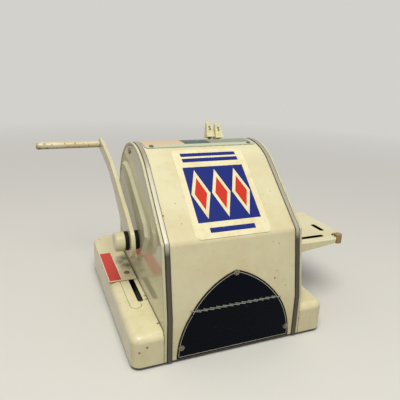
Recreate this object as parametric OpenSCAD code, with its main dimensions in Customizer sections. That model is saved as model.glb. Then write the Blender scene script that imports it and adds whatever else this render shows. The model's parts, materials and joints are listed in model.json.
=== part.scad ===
// Desk check writer: a hand-pulled machine that presses an inked figure into a check.
// The operator faces the curved keyboard at -Y, and the handle is on the operator's right, +X.
// Side views are drawn as y and z, with the machine's rear wall at y = 0.
// Every node is then moved back by origin_y, so that the model's box is centred on the origin.

/* [Base] */
// Width of the base over both wings
base_w = 228; // [215:1:260]
// Depth of the base from the rear wall to its front face
base_d = 258; // [245:1:300]
// Height of the base shell at the rear
base_rear_h = 36; // [30:0.5:44]
// Height of the base shell at the front
base_front_h = 45.5; // [38:0.5:56]
// Wall thickness of the base casting
base_wall = 3; // [2:0.5:5]
// Rounding of the base's top edges
base_edge_r = 8; // [4:0.5:9]
// Plan radius of the two front corners
base_front_r = 18; // [12:1:30]
// Thickness of the steel bottom plate
bottom_t = 1.5; // [1:0.5:3]
// Height of the rubber feet
foot_h = 2.5; // [2:0.5:8]
// Radius of the rubber feet
foot_r = 9; // [6:0.5:12]
// Distance of each foot from the edges of the base
foot_inset = 20; // [16:1:30]

/* [Housing] */
// Half width of the body between the side plates
body_half = 77.6; // [77:0.2:90]
// Thickness of a side plate's panel
side_t = 2.2; // [1.5:0.1:3]
// Height of the rim that runs round a side plate
rim_t = 0.8; // [0.4:0.1:1.5]
// Width of that rim
rim_w = 3; // [2:0.5:5]
// Height above the rim of the raised pod that carries the handle hub
pod_t = 2.4; // [1:0.2:4]
// Thickness of the sheet covers
cover_t = 1.8; // [1.2:0.2:3]
// How far the covers lie below the edges of the side plates
cover_drop = 0.6; // [0.4:0.1:1.2]
// Distance of the keyboard's centre line in front of the rear wall
key_y = 131.5; // [125:0.5:140]
// Height of the keyboard's centre line
key_z = 130.8; // [126:0.2:136]
// Radius of the keyboard arc at the edges of the side plates
key_r = 77.5; // [74:0.5:80]
// Angle of the rear slope from level
slope_a = 41.4; // [36:0.2:46]
// Height of the bend at the top of the rear wall
knee_z = 129; // [120:1:136]
// Height of the slight bend in the rear wall
kink_z = 53.5; // [45:0.5:65]
// Width of the metal trim strips
trim_w = 5.6; // [4:0.2:7]
// How far a trim strip stands above the side plates' edges
trim_proud = 0.4; // [0.2:0.1:1]

/* [Keyboard] */
// Number of selector columns
columns = 10; // [10:1:10]
// Distance between selector columns
pitch = 12; // [11.4:0.1:12.4]
// Middle of the row of columns, towards the handle
row_mid = 2.5; // [-2:0.5:2.5]
// Position of the first figure, in degrees from upright
first_a = 18; // [17:0.5:20]
// Angle from one figure to the next
step_a = 8; // [7:0.5:8]
// Thickness of a selector lever
lever_t = 3; // [2:0.2:4]
// Width of a selector lever's arm
lever_w = 5; // [4:0.5:6]
// Radius of the shaft that the selectors turn on
key_shaft_r = 4; // [3:0.5:5]
// Height of a selector tab
tab_h = 19.4; // [14:0.2:24]
// Width of a tab at its foot
tab_foot_w = 11.2; // [7:0.2:11.4]
// Width of a tab at its top
tab_top_w = 6.6; // [4:0.2:8]

/* [Handle] */
// Distance of the handle shaft in front of the rear wall
hub_y = 98.3; // [94:0.1:104]
// Height of the handle shaft
hub_z = 101.7; // [99:0.1:106]
// Radius of the handle shaft
hub_shaft_r = 5; // [4:0.5:6]
// Radius of the hub cap and its washers
cap_r = 11.2; // [9:0.2:14]
// Length of the hub cap
cap_len = 11.3; // [6:0.1:16]
// Thickness of the washer between the pod and the arm
inner_washer_t = 6.6; // [4:0.2:9]
// Thickness of the washer between the arm and the cap
outer_washer_t = 4.4; // [2:0.2:7]
// Thickness of the handle arm
arm_t = 5; // [3:0.5:7]
// Radius of the grip rod
grip_r = 4.9; // [4:0.1:7]
// Distance of the grip rod in front of the handle shaft
grip_ahead = 178; // [165:1:190]
// Height of the grip rod above the handle shaft
grip_above = 80.3; // [70:0.5:90]
// Pull of the handle in degrees
pull_a = 35; // [25:1:36]

/* [Throat and table] */
// Height of the bed that a check lies on
bed_z = 91; // [90:0.2:92]
// Thickness of the bed and of the check table
bed_t = 2.2; // [1.6:0.2:2.6]
// Height of the throat at the side of the machine
throat_h = 11; // [8:0.5:13]
// Distance of the throat's closed end in front of the rear wall
throat_end = 52; // [46:1:58]
// Reach of the table and of the grip from the middle of the machine
side_reach = 181.5; // [170:0.5:195]
// Distance of the table's near edge in front of the rear wall
table_back = 49; // [44:1:56]
// Distance of the table's far edge in front of the rear wall
table_front = 150; // [140:1:160]
// Depth of the table's skirt beside the machine
skirt_deep = 15; // [11:0.5:17]
// Depth of the table's skirt at its tip
skirt_tip = 5; // [4:0.5:8]
// Width of the slots in the table
table_slot_w = 6.4; // [4.6:0.2:7]

/* [Platen and ribbon] */
// Gap between the type faces and the bed
type_gap = 6.5; // [6:0.1:7.5]
// Width of the platen, front to back
platen_w = 16; // [12:1:18]
// Throw of the crank pin that lifts the platen
crank_throw = 8.6; // [7:0.1:9]
// Radius of the crank pin
crank_pin_r = 2.4; // [2:0.1:3]
// Width of the ribbon
ribbon_w = 29; // [24:1:30]
// Radius of the ribbon spools' flanges
spool_r = 5; // [4.6:0.1:5.2]

/* [Wing slide] */
// Thickness of the sliding plate on the handle-side wing
slide_t = 1.2; // [0.8:0.1:3]
// Distance of that plate's rear edge in front of the rear wall
slide_back = 112.6; // [108:0.2:118]
// Distance of that plate's front edge in front of the rear wall
slide_front = 236; // [220:1:238]
// Width of the slot in the wing
wing_slot_w = 6.2; // [4:0.2:7]
// Place of the slot across the machine
wing_slot_x = 88.4; // [88:0.2:92]
// Distance of the slot's rear end in front of the rear wall
wing_slot_back = 64; // [60:1:70]

/* [Hidden] */
$fn = 72;

// Clearances: a running fit, a seat between fixed pieces, and a gap between faces that pass.
run_gap = 0.05;
seat_gap = 0.02;
free_gap = 0.3;

// The machine's ends along Y, and the shift that centres them.
arm_end_r = 9;
grip_stub_r = 3;
screw_head_t = 1.4;
plate_t = 0.8;
back_y = plate_t + screw_head_t - cover_drop;
front_y = -(hub_y + grip_ahead + arm_end_r);
origin_y = -(back_y + front_y) / 2;

base_z = foot_h;
floor_z = base_z + bottom_t;
key = [-key_y, key_z];
hub = [-hub_y, hub_z];
grip = [-hub_y - grip_ahead, hub_z + grip_above];
bed_under = bed_z - bed_t;
throat_top = bed_z + throat_h;
front_wall_y = key[0] - key_r;
plate_out = body_half + side_t;
rim_out = plate_out + rim_t;
pod_out = rim_out + pod_t;

// The side profile's outward normals, and its corners.
knee_y = (key[0] * sin(slope_a) + key[1] * cos(slope_a) + key_r - knee_z * cos(slope_a)) / sin(slope_a);
lean_a = atan2(-knee_y, knee_z - kink_z);
n_wall = [1, 0];
n_lean = [cos(lean_a), sin(lean_a)];
n_slope = [sin(slope_a), cos(slope_a)];
function corner(p, n1, n2, t) = p - t * (n1 + n2) / (1 + n1 * n2);
function around(a, r) = [-sin(a) * r, cos(a) * r];

// Frames that stand inside the side plates, and what lies beside them.
frame_t = 2.8;
frame_in = 70.6;
frame_inset = 6;
disc_t = 2.8;
disc_in = frame_in - 0.4 - disc_t;
yoke_t = 3.2;
yoke_out = disc_in - 0.8;
yoke_in = yoke_out - yoke_t;
hub_hole_r = hub_shaft_r + 2;
crank_rest = pull_a / 2;
crank_pin = hub + crank_throw * [cos(crank_rest), -sin(crank_rest)];
lift = 2 * crank_throw * sin(crank_rest);

// Type faces, ribbon and platen, stacked over the bed.
type_r = key_z - bed_z - type_gap;
type_h = 1;
type_w = 6.4;
ribbon_t = 0.25;
ribbon_z = bed_z + type_gap - 1 - ribbon_t;
roll_r = spool_r - 0.6;
spool_z = ribbon_z + ribbon_t + free_gap + roll_r;
spool_gap = 0.4;
spool_x = frame_in - spool_gap - spool_r;
ribbon_front = key[0] - ribbon_w / 2;
pad_t = 2.2;
pad_top = bed_z - free_gap;
rail_top = bed_under - lift - 0.6;
rail_t = 8;
window_gap = 1.4;
column_half = pitch * (columns - 1) / 2;
print_half = column_half + 5;
post_r = 3;
post_out = 61.5;

// Tabs stand clear of the keyboard panel.
tab_foot = key_r + 3;
tab_d_foot = 12;
tab_d_top = 3.2;
lever_tip = tab_foot + tab_h / 2;
// Figures at which the columns rest, from the handle side; the two symbol columns stand at the top.
rest_steps = [6, 7, 5, 8, 6, 7, 9, 0, 0, 8];
// How much further each tab is pushed on than the rest.
tab_push = [0, 0, 0, 0, 0, 0, 0, 0, 1.5, 0];
function column_x(i) = row_mid + column_half - pitch * (i - 1);
function rest_a(i) = first_a + step_a * rest_steps[i - 1];
comb_a = -68;
comb_r = 60;
hub_disc_r = 16;

// Arm outline: a chain of circles from the hub to the grip, as [ahead, above, radius].
arm_chain = [[0, 0, 19.5], [22, 17, 15.6], [43, 29.5, 12.4], [72, 47, 10.5], [105, 62.9, 9],
             [137, 71.5, 8.6], [grip_ahead, grip_above, arm_end_r]];
arm_in = pod_out + inner_washer_t;
arm_out = arm_in + arm_t;
cap_in = arm_out + outer_washer_t;

// The wings' flat tops run from the rear edge's rounding to the front corners' roundings.
wing_fall = atan((base_front_h - base_rear_h) / (base_d - 2 * base_front_r));
function wing_z(y) = base_z + base_rear_h - tan(wing_fall) * (y + base_edge_r);

cream = [0.9, 0.87, 0.72];
steel = [0.62, 0.62, 0.6];
dark = [0.12, 0.12, 0.12];

module centred() translate([0, origin_y, 0]) children();

// Extrudes a side view, drawn as [y, z], from x0 to x1.
module across(x0, x1) translate([x0, 0, 0]) rotate([90, 0, 90]) linear_extrude(x1 - x0) children();

// A round bar along X.
module bar(p, r, x0, x1) translate([x0, p[0], p[1]]) rotate([0, 90, 0]) cylinder(r = r, h = x1 - x0);

// The body's side profile, t millimetres inside its outline.
module profile(t = 0, low = base_z) {
    translate(key) circle(r = key_r - t);
    polygon([[-t, low], corner([0, kink_z], n_wall, n_lean, t), corner([knee_y, knee_z], n_lean, n_slope, t),
             key + (key_r - t) * n_slope, key, [key[0] - key_r + t, key[1]], [front_wall_y + t, low]]);
}

// A band of the body's skin between two depths, across the whole width.
module skin(outer, inner, half) across(-half, half) difference() {
    profile(outer);
    profile(inner, low = base_z - 1);
}

module rounded_plate(x, y, r, h) linear_extrude(h) {
    square([x - 2 * r, y], center = true);
    square([x, y - 2 * r], center = true);
    for (sx = [-1, 1], sy = [-1, 1]) translate([sx * (x / 2 - r), sy * (y / 2 - r)]) circle(r = r);
}

module round_slot(x0, x1, w, h) linear_extrude(h) {
    translate([x0 + w / 2, -w / 2]) square([x1 - x0 - w, w]);
    for (x = [x0 + w / 2, x1 - w / 2]) translate([x, 0]) circle(r = w / 2);
}

// A slotted screw with its head at z = 0 and upwards, and its shank below.
module screw(head_r, head_t, shank_r, shank_len) difference() {
    union() {
        cylinder(r = head_r, h = head_t);
        translate([0, 0, -shank_len]) cylinder(r = shank_r, h = shank_len + 0.1);
    }
    translate([-head_r, -head_r / 8, head_t * 0.45]) cube([2 * head_r, head_r / 4, head_t]);
}

// One corner of the base block, as tall as the sloping top at that corner.
module base_corner(x, y, plan_r, edge_r, low, top) translate([x, y, 0]) {
    translate([0, 0, low]) cylinder(r = plan_r, h = 1, $fn = 32);
    translate([0, 0, top - edge_r]) rotate_extrude($fn = 32) translate([plan_r - edge_r, 0])
        intersection() {
            circle(r = edge_r, $fn = 32);
            translate([0, -edge_r]) square([edge_r, 2 * edge_r]);
        }
}

module base_block(in, low) hull() for (s = [-1, 1]) {
    base_corner(s * (base_w / 2 - base_edge_r - 2), -base_edge_r - 2, base_edge_r + 2 - in,
                base_edge_r - in, low, base_z + base_rear_h - in);
    base_corner(s * (base_w / 2 - base_front_r), -base_d + base_front_r, base_front_r - in,
                base_edge_r - in, low, base_z + base_front_h - in);
}

module base_housing() color(cream) centred() difference() {
    base_block(0, base_z);
    base_block(base_wall, base_z - 1);
    // The body stands in a bay that is open at the rear and wider where the side plates' rims come down.
    bay(plate_out, front_wall_y, 10);
    bay(rim_out, -rim_w, 10);
    bay(rim_out, front_wall_y, front_wall_y + rim_w);
    // Slot in the handle-side wing.
    translate([wing_slot_x, -wing_slot_back, base_z + 15]) rotate([0, 0, -90])
        round_slot(0, slide_front - wing_slot_back - 40, wing_slot_w, base_front_h);
}

module bay(half, y0, y1) translate([-half - free_gap, y0 - free_gap, base_z - 1])
    cube([2 * (half + free_gap), y1 - y0 + 2 * free_gap, base_front_h + 10]);

module bottom_plate() color(steel) centred() difference() {
    translate([0, -base_d / 2, base_z])
        rounded_plate(base_w - 2 * base_wall - 2, base_d - 2 * base_wall - 2, base_front_r - base_wall, bottom_t);
    for (p = foot_places) translate([p[0], p[1], base_z - 1]) cylinder(r = 1.6, h = bottom_t + 2);
    // Slots for the side plates, which reach down to the base's lower edge.
    for (s = [-1, 1]) translate([s * (body_half + rim_out) / 2 - 2, front_wall_y - free_gap, base_z - 1])
        cube([4, -front_wall_y + 20, bottom_t + 2]);
}

foot_places = [for (sx = [-1, 1], y = [-foot_inset, -base_d + foot_inset]) [sx * (base_w / 2 - foot_inset), y]];

module rubber_feet() color(dark) centred() for (p = foot_places) translate([p[0], p[1], 0]) difference() {
    cylinder(r = foot_r, h = foot_h);
    translate([0, 0, -1]) cylinder(r = 1.6, h = foot_h + 2);
    translate([0, 0, -1]) cylinder(r = 4, h = 2);
}

// Screws that hold the feet, driven from below.
module base_screws() color(steel) centred() for (p = foot_places) translate([p[0], p[1], 1]) rotate([180, 0, 0])
    screw(3.2, 0.9, 1.5, bottom_t + 5);

module rear_cover() color(cream) centred() difference() {
    intersection() {
        skin(cover_drop, cover_drop + cover_t, body_half - 0.2);
        translate([-body_half, key[0] + seam_y, 0]) cube([2 * body_half, 400, 400]);
    }
    strip_holes();
    for (p = plate_screws) translate([p[0], 0, 0]) on_wall(p[1]) translate([0, 0, -6]) cylinder(r = 1.4, h = 12);
}

// The seam between the rear cover and the keyboard panel, hidden under the top strip.
seam_y = 6;

module side_screw_holes(x) for (p = side_screw_places) bar(p, 1.6, x - 20, x + 20);

side_screw_places = [[key[0] - 14, key[1] + key_r - 12], [front_wall_y + 12, 66]];

// A side plate lying between x = body_half and rim_out; the left one is its mirror image.
module side_plate() difference() {
    union() {
        across(body_half, plate_out) profile(0);
        across(plate_out, rim_out) difference() {
            profile(0);
            profile(rim_w, low = base_z - 1);
        }
    }
    side_screw_holes(plate_out);
}

// Corners of the raised pod that carries the handle hub and runs up beside the keyboard.
pod_points = [[-66, 117], [-73, 129], [-140, 168.5], [-160, 175.5], [-174, 174], [-190, 150], [-194, 125],
              [-180, 92], [-140, 74], [-106, 74.5], [-84, 91]];
pod_slope = 4;

// The pod's wall slopes, from a wide foot on the panel to its face.
module pod() hull() for (p = pod_points) {
    bar(p, pod_slope + 0.5, plate_out - 0.5, plate_out, $fn = 24);
    bar(p, 0.5, pod_out - 0.1, pod_out, $fn = 24);
}

module right_side_plate() color(cream) centred() difference() {
    union() {
        side_plate();
        pod();
    }
    bar(hub, hub_hole_r, body_half - 1, pod_out + 1);
}

module left_side_plate() color(cream) centred() mirror([1, 0, 0]) difference() {
    side_plate();
    for (y = table_screws) bar([y, bed_under - 7], 1.6, body_half - 1, rim_out + 1);
    translate([body_half - 1, front_wall_y - 1, bed_under - free_gap])
        cube([10, -front_wall_y - throat_end + 1, throat_h + bed_t + free_gap]);
}

module trim_strips() color(steel) centred() for (s = [-1, 1]) intersection() {
    across(s * (body_half - trim_w / 2) - trim_w / 2, s * (body_half - trim_w / 2) + trim_w / 2) difference() {
        profile(-trim_proud);
        profile(cover_drop - seat_gap, low = base_z - 1);
    }
    translate([-100, -strip_front, 0]) cube([200, 400, 400]);
}

// The top strip runs from strip_back over the top to strip_front.
strip_back = 110.5;
strip_front = 140;
strip_half = 70;
strip_t = 0.2;
strip_screw_y = 114.3;

module keyboard_panel() color(cream) centred() difference() {
    intersection() {
        skin(cover_drop, cover_drop + cover_t, body_half - 0.2);
        translate([-body_half, front_wall_y - 1, throat_top])
            cube([2 * body_half, -front_wall_y - key_y + seam_y - 0.2 + 1, 200]);
    }
    for (i = [1:columns]) translate([column_x(i), key[0], key[1]]) column_slot();
}

// One curved slot, cut through the panel over the whole travel of a lever.
slot_margin = 5.5;
slot_w = lever_t + 1.2;
module column_slot() {
    a0 = first_a - slot_margin;
    a1 = first_a + step_a * 9 + slot_margin;
    far = key_r * 1.5;
    across(-slot_w / 2, slot_w / 2) difference() {
        polygon([around(a0, key_r - 10), around(a0, far), around((a0 + a1) / 2, far * 1.4), around(a1, far),
                 around(a1, key_r - 10)]);
        circle(r = key_r - 12);
    }
}

// Front wall below the throat.
module front_apron() color(cream) centred() difference() {
    translate([-body_half + 0.2, front_wall_y, floor_z]) cube([2 * body_half - 0.4, cover_t, bed_under - floor_z]);
    for (x = apron_screws) translate([x, front_wall_y - 1, bed_under - 8]) rotate([-90, 0, 0]) cylinder(r = 1.6, h = 10);
}

module throat_bed() color(steel) centred() difference() {
    union() {
        translate([-frame_in + 0.2, front_wall_y, bed_under])
            cube([2 * frame_in - 0.4, -front_wall_y - throat_end + 4, bed_t]);
        // Tongue that carries the bed out through the left frame and side plate.
        translate([-rim_out, front_wall_y, bed_under]) cube([20, -front_wall_y - throat_end, bed_t]);
    }
    // Window for the platen, and a notch for its yoke.
    translate([row_mid - print_half - window_gap, key[0] - platen_w / 2 - window_gap, bed_under - 1])
        cube([2 * (print_half + window_gap), platen_w + 2 * window_gap, bed_t + 2]);
    translate([yoke_in - 0.8, hub[0] - 15, bed_under - 1]) cube([frame_in - yoke_in + 2, 38, bed_t + 2]);
}

module top_strip() color([0.72, 0.82, 0.68]) centred() difference() {
    intersection() {
        skin(-strip_t, cover_drop - seat_gap, strip_half);
        translate([0, -(strip_back + strip_front) / 2, 150])
            rounded_plate(2 * strip_half, strip_front - strip_back, 4, 100);
    }
    strip_holes();
}

module strip_holes() for (s = [-1, 1]) translate([s * 62, 0, 0]) on_skin(-strip_screw_y, -strip_t)
    translate([0, 0, -6]) cylinder(r = 1.4, h = 12);

// Skin screws: two in the top strip, three in the nameplate, four in the side plates, two in the table's
// flange and two in the front apron.
module cover_screws() color(steel) centred() {
    for (s = [-1, 1]) translate([s * 62, 0, 0]) on_skin(-strip_screw_y, -strip_t) screw(2.6, 1, 1.3, 5);
    for (p = plate_screws) translate([p[0], 0, 0]) on_wall(p[1]) screw(2.4, screw_head_t, 1.3, 4);
    for (s = [-1, 1], p = side_screw_places) translate([s * plate_out, p[0], p[1]]) rotate([0, s * 90, 0])
        screw(3.4, 1.4, 1.5, 6);
    for (y = table_screws) translate([-rim_out - 2.4, y, bed_under - 7]) rotate([0, -90, 0]) screw(3, 1.4, 1.5, 8);
    for (x = apron_screws) translate([x, front_wall_y, bed_under - 8]) rotate([90, 0, 0]) screw(3, 1.4, 1.5, 6);
}
table_screws = [-75, -125];
apron_screws = [-60, 60];

// Places a child on the arc at y, t millimetres below the side plates' edges.
module on_skin(y, t) {
    a = asin((y - key[0]) / (key_r - t));
    translate([0, key[0] + (key_r - t) * sin(a), key[1] + (key_r - t) * cos(a)]) rotate([-a, 0, 0]) children();
}

// Places a child on the rear wall or its leaning part, at height z, standing on the nameplate.
module on_wall(z) {
    lean = z > kink_z ? lean_a : 0;
    y = z > kink_z ? -(z - kink_z) * tan(lean_a) : 0;
    translate([0, y + (plate_t - cover_drop) / cos(lean), z]) rotate([-90 + lean, 0, 0]) children();
}

plate_screws = [[0, 91], [62, 17], [-63, 16.5]];
plate_half = 67;
plate_low = 4.5;
plate_top = 94;

// A pointed arch: two equal arcs that meet at the top.
module arch(grow = 0) {
    rise = plate_top - plate_low;
    c = (rise * rise - plate_half * plate_half) / (2 * plate_half);
    translate([0, plate_low]) intersection() {
        translate([-c, 0]) circle(r = plate_half + c + grow);
        translate([c, 0]) circle(r = plate_half + c + grow);
        translate([-plate_half * 2, -grow]) square([plate_half * 4, rise * 2]);
    }
}

module nameplate() color([0.05, 0.07, 0.11]) centred() difference() {
    intersection() {
        skin(cover_drop - plate_t, cover_drop - seat_gap, body_half);
        translate([0, 40, 0]) rotate([90, 0, 0]) linear_extrude(80) arch();
    }
    for (p = plate_screws) translate([p[0], 0, 0]) on_wall(p[1]) translate([0, 0, -3]) cylinder(r = 1.4, h = 6);
}

label_half = 43.5;
label_top = 104;
label_low = 13.4;
label_t = 0.25;
module slope_label() color([0.9, 0.88, 0.8]) centred() intersection() {
    skin(cover_drop - label_t, cover_drop - seat_gap, label_half + 5);
    translate([0, -(label_top + label_low) / 2, 100])
        rounded_plate(2 * label_half, label_top - label_low, 6, 120);
}

module frame_outline() intersection() {
    profile(frame_inset, low = floor_z);
    translate([front_wall_y + 6, floor_z]) square([-front_wall_y - 14, 300]);
}

rod_places = [[-40, 118], [-30, 62], [-190, 112]];
rod_r = 3;

module frame_holes(x) {
    bar(key, key_shaft_r + seat_gap, x - 10, x + 10);
    for (p = rod_places) bar(p, rod_r + seat_gap, x - 10, x + 10);
    bar(key + around(comb_a, comb_r), 2 + seat_gap, x - 10, x + 10);
}

module right_frame() color(steel) centred() difference() {
    across(frame_in, frame_in + frame_t) frame_outline();
    frame_holes(frame_in);
    bar(hub, hub_hole_r, frame_in - 1, frame_in + frame_t + 1);
}

module left_frame() color(steel) centred() difference() {
    across(-frame_in - frame_t, -frame_in) frame_outline();
    frame_holes(-frame_in);
    translate([-frame_in - 10, front_wall_y - 1, bed_under - free_gap])
        cube([20, -front_wall_y - throat_end + 1, throat_h + bed_t + free_gap]);
}

module frame_rods() color(steel) centred() for (p = rod_places) bar(p, rod_r, -frame_in - frame_t, frame_in + frame_t);

module selector_shaft() color(steel) centred() bar(key, key_shaft_r, -frame_in - frame_t, frame_in + frame_t);

// Tubes that keep the levers apart on their shaft.
module selector_spacers() color([0.7, 0.6, 0.35]) centred() {
    for (i = [1:columns - 1]) spacer(column_x(i + 1) + lever_t / 2, column_x(i) - lever_t / 2);
    spacer(-frame_in, column_x(columns) - lever_t / 2);
    spacer(column_x(1) + lever_t / 2, frame_in);
}

module spacer(x0, x1) difference() {
    bar(key, 7, x0 + 0.2, x1 - 0.2);
    bar(key, key_shaft_r + run_gap, x0 - 1, x1 + 1);
}

// A bar with one spring finger for each column, which drops into the notches of the levers.
module detent_comb() color(steel) centred() {
    bar(key + around(comb_a, comb_r), 2, -frame_in - frame_t, frame_in + frame_t);
    translate([0, key[0], key[1]]) rotate([comb_a, 0, 0]) {
        difference() {
            translate([-frame_in + 0.3, -3, comb_r - 4]) cube([2 * frame_in - 0.6, 6, 8]);
            translate([-200, 0, comb_r]) rotate([0, 90, 0]) cylinder(r = 2 + seat_gap, h = 400);
        }
        for (i = [1:columns]) translate([column_x(i) - 1.8, -0.35, hub_disc_r + 0.5])
            cube([3.6, 0.7, comb_r - 4 - hub_disc_r - 0.5]);
    }
}

// Flanged bushes that carry the handle shaft in the side plate and in the frame.
module handle_bearings() color([0.72, 0.58, 0.3]) centred() {
    bush(body_half, pod_out);
    bush(frame_in, frame_in + frame_t);
}

module bush(x0, x1) difference() {
    bar(hub, hub_hole_r - seat_gap, x0, x1);
    bar(hub, hub_shaft_r + run_gap, x0 - 1, x1 + 1);
}

// Flat spiral return spring, coiled round the shaft between the frame and the side plate.
module handle_spring() color(steel) centred() difference() {
    bar(hub, 15, frame_in + frame_t + 0.4, body_half - 0.4);
    bar(hub, hub_shaft_r + 1, frame_in, body_half);
}

// The table that the check slides in from, with a tapering skirt along its rear edge.
module check_table() color(cream) centred() difference() {
    union() {
        translate([0, 0, bed_under]) linear_extrude(bed_t) table_outline();
        // Skirt.
        translate([0, -table_back, 0]) rotate([90, 0, 0]) linear_extrude(2)
            polygon([[-rim_out - 0.3, bed_z], [-rim_out - 0.3, bed_z - skirt_deep],
                     [-side_reach + tip_x, bed_z - skirt_tip], [-side_reach + tip_x, bed_z]]);
        // Flange that is screwed to the side plate.
        translate([-rim_out - 2.4, -table_front + 6, bed_z - skirt_deep])
            cube([2.1, table_front - table_back - 6, skirt_deep]);
        // Low lip along the far edge.
        translate([-side_reach, -table_front, bed_z - 0.1]) cube([side_reach - rim_out - 0.3, 12, 0.9]);
    }
    // A slot along X for the line guide and a slot along Y for the side guide.
    translate([0, -table_back - 16, bed_under - 1]) round_slot(-side_reach + 28, -side_reach + 86, table_slot_w, 6);
    translate([-side_reach + 17.5, -table_back - 54.5, bed_under - 1]) rotate([0, 0, 90])
        round_slot(0, 24, table_slot_w, 6);
    translate([notch[0], notch[1], bed_z - 12]) cylinder(r = notch_r, h = 20);
    for (y = table_screws) bar([y, bed_under - 7], 1.6, -rim_out - 5, -rim_out + 5);
}

tip_x = 20;
tip_y = 22;
notch_r = 8.4;
stop_r = 5;
notch = [-side_reach + 8, -table_back - 11];
module table_outline() polygon([[-rim_out - 0.3, -table_back], [-side_reach + tip_x, -table_back],
                                [-side_reach, -table_back - tip_y], [-side_reach, -table_front],
                                [-rim_out - 0.3, -table_front]]);

// Moulded stop in the notch of the table's outer corner, on a tongue under the table.
module table_corner_stop() color([0.65, 0.5, 0.3]) centred() translate([notch[0], notch[1], bed_under]) {
    translate([0, 0, -8]) cylinder(r = stop_r, h = 8 + bed_t + 2);
    translate([0, -3, -2.5]) cube([notch_r + 8, 6, 2.5]);
}

// Two posts under the bed that guide the platen carriage.
post_places = [[-post_out + 2, key[0]], [post_out, key[0]]];
module guide_posts() color(steel) centred() for (p = post_places) {
    translate([p[0], p[1], floor_z]) cylinder(r = post_r, h = pad_top - pad_t - 1 - floor_z);
    translate([p[0], p[1], floor_z]) cylinder(r = 8, h = 4);
}

module ribbon() color([0.35, 0.1, 0.12]) centred() translate([-spool_x, ribbon_front, ribbon_z])
    cube([2 * spool_x, ribbon_w, ribbon_t]);

// A spool on a pin along Y; the wound ribbon fills it to just under its flanges.
module spool(s) color([0.2, 0.2, 0.2]) centred() translate([s * spool_x, ribbon_front, spool_z]) rotate([-90, 0, 0])
    difference() {
        union() {
            cylinder(r = roll_r, h = ribbon_w);
            translate([0, 0, -0.8]) cylinder(r = spool_r, h = 0.8);
            translate([0, 0, ribbon_w]) cylinder(r = spool_r, h = 0.8);
        }
        translate([0, 0, -2]) cylinder(r = spool_pin_r + run_gap, h = ribbon_w + 4);
    }

spool_pin_r = 1.5;
module right_spool() spool(1);
module left_spool() spool(-1);

// Each spool turns on a pin between two ears of a bracket that is fixed to the frame.
module spool_brackets() color(steel) centred() for (s = [-1, 1]) {
    translate([s * spool_x, ribbon_front - 3, spool_z]) rotate([-90, 0, 0]) cylinder(r = spool_pin_r, h = ribbon_w + 6);
    for (y = [ribbon_front - 3, ribbon_front + ribbon_w + 1.4]) difference() {
        translate([s > 0 ? spool_x - 3 : -frame_in + 0.05, y, spool_z - 3])
            cube([frame_in - spool_x + 3 - 0.05, 1.6, 9]);
        translate([s * spool_x, y - 1, spool_z]) rotate([-90, 0, 0]) cylinder(r = spool_pin_r + seat_gap, h = 4);
    }
}

// The arm is a flat bar, cut to a chain of tapering lengths that sweep up and forward.
module handle_arm() color(cream) centred() difference() {
    translate([0, hub[0], hub[1]]) across(arm_in, arm_out) for (i = [0:len(arm_chain) - 2]) hull() {
        arm_round(arm_chain[i]);
        arm_round(arm_chain[i + 1]);
    }
    bar(hub, hub_shaft_r + seat_gap, arm_in - 1, arm_out + 1);
    bar(grip, grip_stub_r + seat_gap, arm_in - 1, arm_out + 1);
}

module arm_round(c) translate([-c[0], c[1]]) circle(r = c[2], $fn = 48);

module grip_rod() color([0.85, 0.8, 0.66]) centred() {
    bar(grip, grip_r, arm_out, side_reach - 1.5);
    bar(grip, grip_r - 0.8, side_reach - 1.6, side_reach);
    bar(grip, grip_stub_r, arm_in, arm_out + 0.1);
}

module hub_cap() color(cream) centred() difference() {
    union() {
        bar(hub, cap_r, cap_in, cap_in + cap_len - 1.5);
        translate([cap_in + cap_len - 1.5, hub[0], hub[1]]) rotate([0, 90, 0])
            cylinder(r1 = cap_r, r2 = cap_r - 1.5, h = 1.5);
    }
    bar(hub, hub_shaft_r + seat_gap, cap_in - 1, cap_in + cap_len - 3);
}

module hub_washers() color(dark) centred() for (w = [[pod_out + 0.3, arm_in], [arm_out, cap_in]]) difference() {
    bar(hub, cap_r - 0.2, w[0], w[1]);
    bar(hub, hub_shaft_r + seat_gap, w[0] - 1, w[1] + 1);
}

module handle_shaft() color(steel) centred() bar(hub, hub_shaft_r, disc_in, cap_in + cap_len - 3.2);

module crank_disc() color(steel) centred() {
    difference() {
        bar(hub, crank_throw + crank_pin_r + 2, disc_in, disc_in + disc_t);
        bar(hub, hub_shaft_r + seat_gap, disc_in - 1, disc_in + disc_t + 1);
    }
    bar(crank_pin, crank_pin_r, yoke_in - 0.6, disc_in + 0.1);
}

// A rail on two posts, with the platen bar on top and, at the handle side, a yoke for the crank pin.
module platen_carriage() color(steel) centred() difference() {
    union() {
        translate([-post_out - 4, key[0] - platen_w / 2, rail_top - rail_t])
            cube([post_out + 4 + yoke_out, platen_w, rail_t]);
        translate([row_mid - print_half, key[0] - platen_w / 2 + 1, rail_top - 0.1])
            cube([2 * print_half, platen_w - 2, pad_top - pad_t - rail_top + 0.1]);
        across(yoke_in, yoke_out) polygon([[key[0], rail_top - rail_t], [-80, rail_top - rail_t],
            [-80, hub_z + 10], [-102, hub_z + 10], [-102, rail_top], [key[0], rail_top]]);
    }
    for (p = post_places) translate([p[0], p[1], 0]) cylinder(r = post_r + run_gap, h = 200);
    translate([yoke_in - 1, crank_pin[0], crank_pin[1]]) rotate([90, 0, 90])
        round_slot(-crank_pin_r - 0.6, crank_pin_r + 1.2, 2 * (crank_pin_r + 0.15), yoke_t + 2);
}

module platen_pad() color(dark) centred() translate([row_mid - print_half, key[0] - platen_w / 2 + 1, pad_top - pad_t])
    cube([2 * print_half, platen_w - 2, pad_t]);

// The plate slides along the wing, held by a screw that runs in the wing's slot.
slide_screw_y = 129.5;
module on_wing(y) translate([0, -y, wing_z(-y)]) rotate([-wing_fall, 0, 0]) children();

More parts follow.
